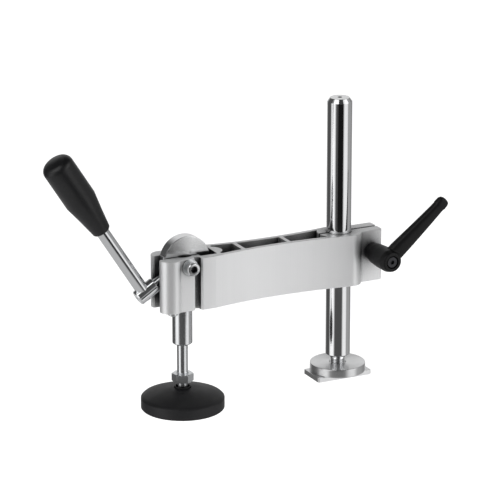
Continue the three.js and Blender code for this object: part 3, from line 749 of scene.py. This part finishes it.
def build_nose_screw():
    low, high = box_mm("nose_screw")
    x, y = (low.x + high.x) / 2, (low.y + high.y) / 2
    r, head = (high.x - low.x) / 2, box_mm("arm")[0].z - 0.1
    shank, edge, crown = 2.5, 0.3, 1.9
    profile = [(0, low.z), (r - 1.6, low.z)] + arc(r - crown, low.z + crown, crown, -80, 0, 6)
    profile += [(r, head - edge), (r - edge, head), (shank, head), (shank, high.z), (0, high.z)]
    piece = turned("nose_screw_head", profile, at(x, y), 64)
    recess = prism("recess", [hex_outline(4.0)], low.z - 1, low.z + 2.2, 0.01, at(x, y))
    combine(piece, [recess])
    finish_piece(piece, BRIGHT_ZINC, "arm", "nose_screw")


def build_back_nut(name, node, placed, seat):
    """An M8 nut on the washer at the arm's back."""
    end = -seat - WASHER - 0.1
    build_nut(name, node, "arm", placed, M8_FLATS, M8_CLEAR, end - M8_NUT, end)


def build_fasteners():
    fork, lug = 18.4, 12.6  # how far out the washers sit
    build_socket_screw("pivot_socket_screw", "pivot_screw", "arm", PIVOT_FRAME, tail=-29.4, seat=20.1,
                       head_r=6.5, head_h=8.0, socket=6.0)
    build_washer("pivot_front_washer", "pivot_washer_front", PIVOT_FRAME, fork)
    build_washer("pivot_back_washer", "pivot_washer_back", PIVOT_FRAME, -fork - WASHER)
    build_back_nut("pivot_back_nut", "pivot_nut", PIVOT_FRAME, fork)
    # the front lug washer's dark oxide is partly painted shade under the lever's hub
    build_washer("lug_front_washer", "clamp_washer_front", CLAMP_FRAME, lug, DARK_ZINC)
    build_washer("lug_back_washer", "clamp_washer_back", CLAMP_FRAME, -lug - WASHER)
    build_back_nut("lug_back_nut", "clamp_nut", CLAMP_FRAME, lug)
    build_nose_screw()


# ---------------------------------------------------------------- eccentric and lever

ROD_START = -6.2
NECK_END = ROD_OFFSET - ROD - 0.6
KNUCKLE_END = 56.7
GRUB = 2.5  # the set screw's radius


def build_disc():
    r, half = CAM_RADIUS, (CAM_HIGH.y - CAM_LOW.y) / 2
    placed = at(CAM_CENTRE.x, 0, CAM_CENTRE.z) @ OUT
    profile = [(0, -half), (r, -half), (r, half), (0, half)]
    piece = turned("cam_disc", rounded(profile, 0.7, steps=4), placed, 160)
    combine(piece, [bar(6.1, -20, 20, PIVOT_FRAME, 64), bar(4.75, 11.9, 40, KNUCKLE_FRAME, 48)])
    finish_piece(piece, DISC_FACE, "eccentric", "eccentric_disc", sharp=35)
    piece.data.materials.append(CHROME)
    for face in piece.data.polygons:
        if abs(face.normal.y) < 0.5:  # the rim the button runs on is polished
            face.material_index = 1


def build_neck():
    start, end, r, edge = 12, NECK_END, 4.6, 0.5
    profile = [(0, start), (r - edge, start), (r, start + edge), (r, end - 0.4), (r - 0.4, end), (0, end)]
    neck = turned("cam_neck", profile, KNUCKLE_FRAME, 64)
    finish_piece(neck, LEVER_CHROME, "eccentric", "lever_neck")


def build_knuckle():
    start, end, r, edge = 35.1, KNUCKLE_END, 8.0, 1.3
    profile = [(0, start), (r, start), (r, end - edge), (r - edge, end), (0, end)]
    knuckle = turned("rod_knuckle", rounded(profile, 0.5, steps=4), KNUCKLE_FRAME, 128)
    combine(knuckle, [
        bar(ROD + 0.06, ROD_START - 0.2, 20, ROD_FRAME, 96),
        bar(4.7, start - 1, NECK_END + 0.2, KNUCKLE_FRAME),
        bar(GRUB + 0.1, ROD_OFFSET, end + 1, KNUCKLE_FRAME, 32),
    ])
    finish_piece(knuckle, LEVER_CHROME, "eccentric", "lever_knuckle")


def build_grub():
    """The set screw in the knuckle's end, which presses on the rod."""
    start, end, edge = ROD_OFFSET + ROD + 0.1, KNUCKLE_END - 0.4, 0.3
    profile = [(0, start), (GRUB, start), (GRUB, end - edge), (GRUB - edge, end), (0, end)]
    screw = turned("knuckle_grub", profile, KNUCKLE_FRAME, 48)
    recess = prism("recess", [hex_outline(2.5)], KNUCKLE_END - 1.5, KNUCKLE_END + 1, 0.01, KNUCKLE_FRAME)
    combine(screw, [recess])
    finish_piece(screw, ZINC, "eccentric", "knuckle_set_screw")


def build_rod():
    start, end, edge = ROD_START, 130, 0.4
    profile = [(0, start), (ROD - edge, start), (ROD, start + edge), (ROD, end), (0, end)]
    rod = turned("handle_rod", profile, ROD_FRAME)
    finish_piece(rod, LEVER_CHROME, "eccentric", "lever_rod")


def build_grip():
    grip = turned("handle_grip", grip_profile(), ROD_FRAME, 128)
    finish_piece(grip, GRIP_PLASTIC, "eccentric", "lever_grip", sharp=60)


def grip_profile():
    """Tapered from the mouth to the shoulder, then straight to a crowned end."""
    start, end, mouth, r, crown_edge = 82, 172, 9.3, 15.7, 8.0
    bore, bore_end, lip = ROD + 0.05, 131, 1.8
    points = [(0, bore_end), (bore, bore_end), (bore, start + 0.6), (bore + 0.4, start)]
    points += arc(mouth - lip, start + lip, lip, -88, -12, 8)
    taper = [(mouth + 0.05, start + lip + 0.6), (12.3, 103), (r, 122), (r, 162)]
    points += rounded(taper, 30, steps=10)[1:]
    points += arc(r - crown_edge, end - 1.1 - crown_edge, crown_edge, 4, 70, 14)
    return points + [(6.0, end - 0.4), (3.0, end - 0.1), (0, end)]


# ---------------------------------------------------------------- plunger, spindle and pad

BALL_Z = 2.5  # the centre of the spindle's ball


def build_plunger():
    low, high = box_mm("plunger_sleeve")
    r, waist, waist_start, bore, eye = high.x - PLUNGER_X, 8.3, 97.8, 6.9, 5.65
    edge, floor = 1.2, low.z + 3.4
    profile = [(eye, low.z), (r - edge, low.z), (r, low.z + edge), (r, waist_start), (waist, waist_start),
               (waist, high.z), (bore, high.z), (bore, floor), (eye, floor)]
    sleeve = turned("plunger_tube", rounded(profile, 0.5, closed=True, steps=3), PLUNGER_FRAME, 128)
    finish_piece(sleeve, GROUND_CHROME, "plunger", "plunger_sleeve", sharp=35)
    low, high = box_mm("pressure_button")
    plug, cap, cap_start = 6.85, 9.5, 112.3
    profile = [(0, low.z), (plug, low.z), (plug, cap_start), (cap, cap_start), (cap, high.z), (0, high.z)]
    button = turned("button", rounded(profile, 0.5, steps=3), PLUNGER_FRAME, 96)
    finish_piece(button, BUTTON_STEEL, "plunger", "pressure_button")


def build_spindle():
    low, high = box_mm("spindle")
    r, ball = 5.45, 7.0
    head, head_start = 6.75, 77.8
    meet = math.degrees(math.acos(r / ball))
    profile = [(0, low.z)] + arc(0, BALL_Z, ball, -88, meet, 20)
    profile += rounded([(r, 8.0), (r, head_start), (head, head_start), (head, high.z), (0, high.z)], 0.4)[1:]
    piece = turned("spindle_rod", profile, PLUNGER_FRAME, 96)
    finish_piece(piece, GROUND_CHROME, "spindle", "spindle", sharp=35)


def build_lock_nut():
    build_nut("spindle_nut", "lock_nut", "lock_nut", PLUNGER_FRAME, flats=19, bore=5.55, start=15.5, end=24,
              turn=4.0)


def build_pad_plate():
    low, high = box_mm("pad_plate")
    r, edge = (high.x - low.x) / 2, 0.8
    rim, rim_edge, wall, lip = -1.6, 1.4, 3.4, 9.0
    crown = high.z - 0.1
    over_facing = box_mm("pad_facing")[1].z + 0.1
    outer, steps = r - edge, 24
    radii = [outer + (lip - outer) * i / steps for i in range(steps + 1)]
    dome = [(radius, crown - crown * (radius / r) ** 2) for radius in radii]
    profile = [(7.9, -2.4), (9.6, -2.4), (9.6, over_facing), (r - wall, over_facing), (r - wall, low.z),
               (outer, low.z), (r, low.z + edge), (r, rim)]
    profile += arc(r - rim_edge, rim, rim_edge, 0, 55, 5) + dome[1:]
    profile += [(8.6, crown - 0.25), (7.95, crown - 0.9)]
    plate = turned("pad_dome", profile, PLUNGER_FRAME, 160)
    finish_piece(plate, PAD_PLASTIC, "pad", "pad_plate", sharp=50)


def build_pad_facing():
    low, high = box_mm("pad_facing")
    radius = (high.x - low.x) / 2
    face = [(0, low.z), (radius, low.z), (radius, high.z), (0, high.z)]
    rubber = turned("pad_sole", rounded(face, 0.6), PLUNGER_FRAME, 128)
    finish_piece(rubber, RUBBER, "pad", "pad_facing")


def build_pad_cup():
    """The cup that snaps over the spindle's ball."""
    hold, neck, neck_top = 7.25, 7.8, 10.6
    foot_r, foot_top, foot_low = 9.5, -2.5, -6.5
    socket = [(0, BALL_Z - hold)] + arc(0, BALL_Z, hold, -88, 20, 16)
    shape = [(6.85, 5.2), (7.0, neck_top), (neck, neck_top), (neck, foot_top), (foot_r, foot_top),
             (foot_r, foot_low), (0, foot_low)]
    cup = turned("ball_cup", socket + rounded(shape, 0.3, steps=3)[1:], PLUNGER_FRAME)
    finish_piece(cup, PAD_PLASTIC, "pad", "pad_cup", sharp=35)


# ---------------------------------------------------------------- clamping lever

def loft(name, rings, placed):
    count = len(rings[0])
    vertices = [placed @ Vector(p) for ring in rings for p in ring]
    faces = [tuple(range(count - 1, -1, -1)), tuple(range(len(vertices) - count, len(vertices)))]
    for k in range(len(rings) - 1):
        for i in range(count):
            j = (i + 1) % count
            faces.append((k * count + i, k * count + j, (k + 1) * count + j, (k + 1) * count + i))
    return outward(mesh_object(name, vertices, faces))


def handle_bar():
    """The handle's arm: a flat bar that tapers, with a thicker, rounded tip."""
    placed = CLAMP_FRAME @ Matrix.Rotation(math.radians(46), 4, "Z")
    length, sag, sides = 82, -0.8, 32
    # reach along the arm, half width, half thickness, height along the hub
    sections = [(0, 8.5, 5.6, 45), (0.18, 8.6, 5.8, 46.8), (0.34, 8.1, 5.5, 49.2), (0.5, 7.4, 5.2, 51.5),
                (0.66, 6.8, 4.9, 53.6), (0.8, 6.2, 4.7, 55.3), (0.875, 6.0, 4.5, 56.1), (0.9, 6.6, 4.6, 56.4),
                (0.955, 6.4, 4.4, 56.8), (0.985, 5.2, 3.7, 57), (1, 2.6, 1.9, 57)]
    rings = []
    for share, wide, thick, height in sections:
        ring = []
        for i in range(sides):
            angle = 2 * math.pi * i / sides
            c, s = math.cos(angle), math.sin(angle)
            across = sag + wide * math.copysign(abs(c) ** 0.62, c)
            up = height + thick * math.copysign(abs(s) ** 0.75, s)
            ring.append((share * length, across, up))
        rings.append(ring)
    return loft("handle_bar", rings, placed)


def build_clamp_handle():
    """Hub and arm joined, smoothed where they meet, then bored for the insert, the screw and its head."""
    barrel = [(0, 14.6), (8.6, 14.6), (10.6, 24), (11.4, 36), (11.4, 50), (9.7, 56), (0, 56)]
    hub = turned("clamp_lever_handle", rounded(barrel, 1.4), CLAMP_FRAME, 96)
    combine(hub, [handle_bar()], "UNION")
    remesh = hub.modifiers.new("remesh", "REMESH")
    remesh.mode = "VOXEL"
    remesh.voxel_size = 0.55 * MM
    smooth = hub.modifiers.new("smooth", "SMOOTH")
    smooth.factor = 0.5
    smooth.iterations = 5
    hub.data = evaluated_mesh(hub)
    hub.modifiers.clear()
    socket, socket_end, head_seat = 6.6, 35.8, 42
    combine(hub, [
        bar(socket, 10, socket_end, CLAMP_FRAME, 64),
        bar(2.7, 30, 50, CLAMP_FRAME, 32),
        bar(socket, head_seat, 62, CLAMP_FRAME, 72),
    ])
    finish_piece(hub, LEVER_COAT, "clamp_handle", "clamp_handle", sharp=45)


def build_retaining_screw():
    start, seat, top, edge = 20.5, 51.8, 55.5, 0.5
    shank, head = 2.4, 5.6
    profile = [(0, start), (shank, start), (shank, seat), (head, seat), (head, top - edge),
               (head - edge, top), (0, top)]
    screw = turned("lever_screw", rounded(profile, 0.3, steps=3), CLAMP_FRAME, 72)
    combine(screw, [prism("recess", [hex_outline(4.0, 20)], 52.9, 58, 0.01, CLAMP_FRAME)])
    finish_piece(screw, DARK_ZINC, "clamp_lever", "clamp_retaining_screw")


def build_insert():
    """The toothed insert with the stud that draws the lugs together."""
    back = -box_mm("clamp_insert")[1].y
    stud_r, r, start, end, hole, hole_end = 4.0, 6.4, 14.3, 30, 2.5, 20
    stud = [(0, back), (3.4, back)] + thread(3.35, stud_r, back + 0.5, 14.0, M8_PITCH)
    body = [(stud_r, start), (r, start), (r, start + 0.9), (r, end), (hole, end), (hole, hole_end),
            (0, hole_end)]
    teeth = knurled(r - 0.02, r + 0.02, 0.5, 24, 15, end + 0.1)
    insert = turned("lever_insert", stud + body, CLAMP_FRAME, 144, teeth)
    finish_piece(insert, ZINC, "clamp_lever", "clamp_insert")


# ---------------------------------------------------------------- springs and carried-over CAD nodes

def coil(name, node, body, placed, radius, wire_r, turns, start, end):
    """A round-wire spring with closed ends."""
    around, steps = 12, turns * 36
    dead, slope = 0.6, 0.12  # turns lying flat at each end, and the share of the rise that is even
    rise = end - start - 2 * wire_r
    rings = []
    for i in range(steps + 1):
        t = i / steps
        angle = 2 * math.pi * turns * t
        ease = min(1.0, max(0.0, (t * turns - dead) / (turns - 2 * dead)))
        z = start + wire_r + rise * (slope * t + (1 - slope) * ease)
        out = Vector((math.cos(angle), math.sin(angle), 0))
        centre = out * radius + Vector((0, 0, z))
        ring = []
        for k in range(around):
            a = 2 * math.pi * k / around
            ring.append(centre + out * (wire_r * math.cos(a)) + Vector((0, 0, wire_r * math.sin(a))))
        rings.append(ring)
    piece = loft(name, rings, placed)
    finish_piece(piece, SPRING_WIRE, body, node)
    return piece


def build_springs():
    """The two springs of the plunger get meshes of their own. The lever's keeps the length of a lifted
    handle.
    """
    seat, top = 99.5, 112.2
    back = coil("return_coil", "return_spring", "arm", PLUNGER_FRAME, 9.1, 0.5, 5, seat, top)
    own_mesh(back)
    seat, top = 84.0, 105.9
    press = coil("pressure_coil", "pressure_spring", "plunger", PLUNGER_FRAME, 5.9, 0.7, 6, seat, top)
    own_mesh(press)
    coil("lever_coil", "clamp_spring", "clamp_handle", CLAMP_FRAME, 4.2, 0.5, 4, 42.1, 47.7)


def finish_carried_nodes():
    """Three hidden CAD parts keep their own shape and only get a material."""
    carried = {"pivot_bush": BRONZE, "guide_bush": BRONZE, "spring_seat_ring": SPRING_WIRE}
    for node, material in carried.items():
        piece = frame["nodes"][node]
        piece.data.materials.clear()
        piece.data.materials.append(material)
        soften(piece, 0.2)


# ---------------------------------------------------------------- stage

VIEW_YAW = math.radians(26.46)  # the camera looks along (sin, cos) of this angle
VIEW_PITCH = math.radians(17.57)
CAMERA_PLACE = Vector((-1.41342, -2.64177, 1.07433))  # from HOME, in metres
LENS, SENSOR = 226.8, 36

ROOM, CEILING, FLOOR_GLOW = 0.08, 0.05, 0.5  # how bright the metal sees the room round the studio
CEILING_RISE = (30, 50)  # elevations in degrees between which the room turns into the ceiling
FLOOR_RISE = (-40, -24)
# Soft panels standing round the object: bearing from the camera's side, half width, softness, brightness
PANELS = {
    "left": (-60, 22, 12, 1.1),
    "right": (60, 22, 10, 0.9),
    "right_fill": (105, 30, 20, 0.35),
    "back": (180, 35, 20, 0.7),
}
# Soft boxes for the sheen of the black pieces: place from HOME in metres, size, power
SOFT_BOXES = {"box_left": ((-1.3, -0.5, 1.3), 1.2, 6.0), "box_right": ((1.0, -1.0, 1.2), 1.2, 4.0)}
AIM = Vector((-0.08, 0, 0.12))  # where they point, from HOME


def bearing(angle, reach):
    """The floor point at a bearing from the column, clockwise from the camera's side as seen from above."""
    turn = math.radians(angle)
    right = (math.cos(VIEW_YAW), -math.sin(VIEW_YAW))
    near = (-math.sin(VIEW_YAW), -math.cos(VIEW_YAW))
    return tuple(reach * (r * math.sin(turn) + n * math.cos(turn)) for r, n in zip(right, near))


def sheet(name, corners, z):
    """A flat card of the stage, with its corners measured from the column's axis."""
    mesh = bpy.data.meshes.new(name)
    mesh.from_pydata([(x, y, 0) for x, y in corners], [], [(0, 1, 2, 3)])
    card = bpy.data.objects.new(name, mesh)
    card.location = (HOME.x * MM, HOME.y * MM, z)
    bpy.context.scene.collection.objects.link(card)
    material = bpy.data.materials.new(name)
    material.use_nodes = True
    mesh.materials.append(material)
    return card, material.node_tree


def pad_drop():
    """How far the pad's rim can sink below its place at rest while the lever is up, in metres."""
    low, high = box_mm("pad_plate")
    tilt = math.radians(10)  # a little past the joint's limit
    rim = (high.x - low.x) / 2 * MM * math.sin(tilt)
    return rim - JOINTS["arm_height"]["range_m"][0]


def build_floor():
    """White paper that glows a little, to run out to plain white. It lies just under the lowered pad."""
    half = 9.0
    corners = [(-half, -half), (half, -half), (half, half), (-half, half)]
    floor, tree = sheet("floor", corners, CAD_BOX[0].z - pad_drop())
    shader = tree.nodes["Principled BSDF"]
    shader.inputs["Base Color"].default_value = (0.93, 0.93, 0.93, 1)
    shader.inputs["Roughness"].default_value = 0.9
    shader.inputs["Specular IOR Level"].default_value = 0.0
    shader.inputs["Emission Color"].default_value = (1, 1, 1, 1)
    shader.inputs["Emission Strength"].default_value = 0.9
    floor.visible_glossy = False


def build_flag():
    """A black card that only reflections see. It darkens the middle of the column's upper half."""
    near, fade_end, far = 0.33, 0.55, 1.7
    left, right = -14, 33
    corners = [bearing(*corner) for corner in ((left, near), (right, near), (right, far), (left, far))]
    flag, tree = sheet("flag", corners, CAD_BOX[0].z)
    tree.nodes.clear()
    n = Nodes(tree)
    reach = n.add("VectorMath", {0: n.place}, operation="LENGTH").outputs["Value"]
    glow = n.add("Emission", {"Strength": n.spread(reach, 0.09, 0.008, near, fade_end)})
    n.add("OutputMaterial", {"Surface": glow.outputs[0]})
    for ray in ("camera", "diffuse", "shadow", "transmission"):
        setattr(flag, "visible_" + ray, False)


def build_world():
    """What the metal reflects. The camera itself sees plain white."""
    world = bpy.data.worlds.new("studio")
    bpy.context.scene.world = world
    world.use_nodes = True
    world.node_tree.nodes.clear()
    w = Nodes(world.node_tree, "Generated")
    level = w.add("VectorMath", {0: w.place, 1: (1, 1, 0)}, operation="MULTIPLY").outputs[0]
    level = w.add("VectorMath", {0: level}, operation="NORMALIZE").outputs[0]
    height = w.add("SeparateXYZ", {0: w.place}).outputs["Z"]
    light = ROOM
    for angle, half, soft, brightness in PANELS.values():
        towards = (*bearing(angle, 1.0), 0)
        closeness = w.add("VectorMath", {0: level, 1: towards}, operation="DOT_PRODUCT").outputs["Value"]
        away = w.math("ARCCOSINE", closeness)
        share = w.step(away, math.radians(half + soft), math.radians(half - soft))
        light = w.math("MAXIMUM", light, w.math("MULTIPLY", share, brightness))
    above, below = ([math.sin(math.radians(angle)) for angle in rise] for rise in (CEILING_RISE, FLOOR_RISE))
    light = w.grey(w.step(height, *above), light, CEILING)
    light = w.grey(w.step(height, *below), FLOOR_GLOW, light)
    light = w.grey(w.add("LightPath").outputs["Is Camera Ray"], light, 1.0)
    colour = w.add("CombineXYZ", {"X": light, "Y": light, "Z": light}).outputs[0]
    background = w.add("Background", {"Color": colour})
    w.add("OutputWorld", {"Surface": background.outputs[0]})


def build_lights():
    for name, (place, size, power) in SOFT_BOXES.items():
        lamp = bpy.data.lights.new(name, "AREA")
        lamp.size = size
        lamp.energy = power
        light = bpy.data.objects.new(name, lamp)
        light.location = HOME * MM + Vector(place)
        light.rotation_euler = (AIM - Vector(place)).to_track_quat("-Z", "Y").to_euler()
        bpy.context.scene.collection.objects.link(light)


def build_camera():
    camera = bpy.data.objects.new("camera", bpy.data.cameras.new("camera"))
    camera.location = HOME * MM + CAMERA_PLACE
    camera.rotation_euler = (math.pi / 2 - VIEW_PITCH, 0, -VIEW_YAW)
    camera.data.sensor_width = SENSOR
    camera.data.lens = LENS
    bpy.context.scene.collection.objects.link(camera)
    bpy.context.scene.camera = camera


build_key()
build_flange()
build_column()
build_arm()
build_fasteners()
build_disc()
build_neck()
build_knuckle()
build_grub()
build_rod()
build_grip()
build_plunger()
build_spindle()
build_lock_nut()
build_pad_plate()
build_pad_facing()
build_pad_cup()
build_clamp_handle()
build_retaining_screw()
build_insert()
build_springs()
finish_carried_nodes()
build_floor()
build_flag()
build_world()
build_lights()
build_camera()
bpy.context.scene.view_settings.view_transform = "Standard"
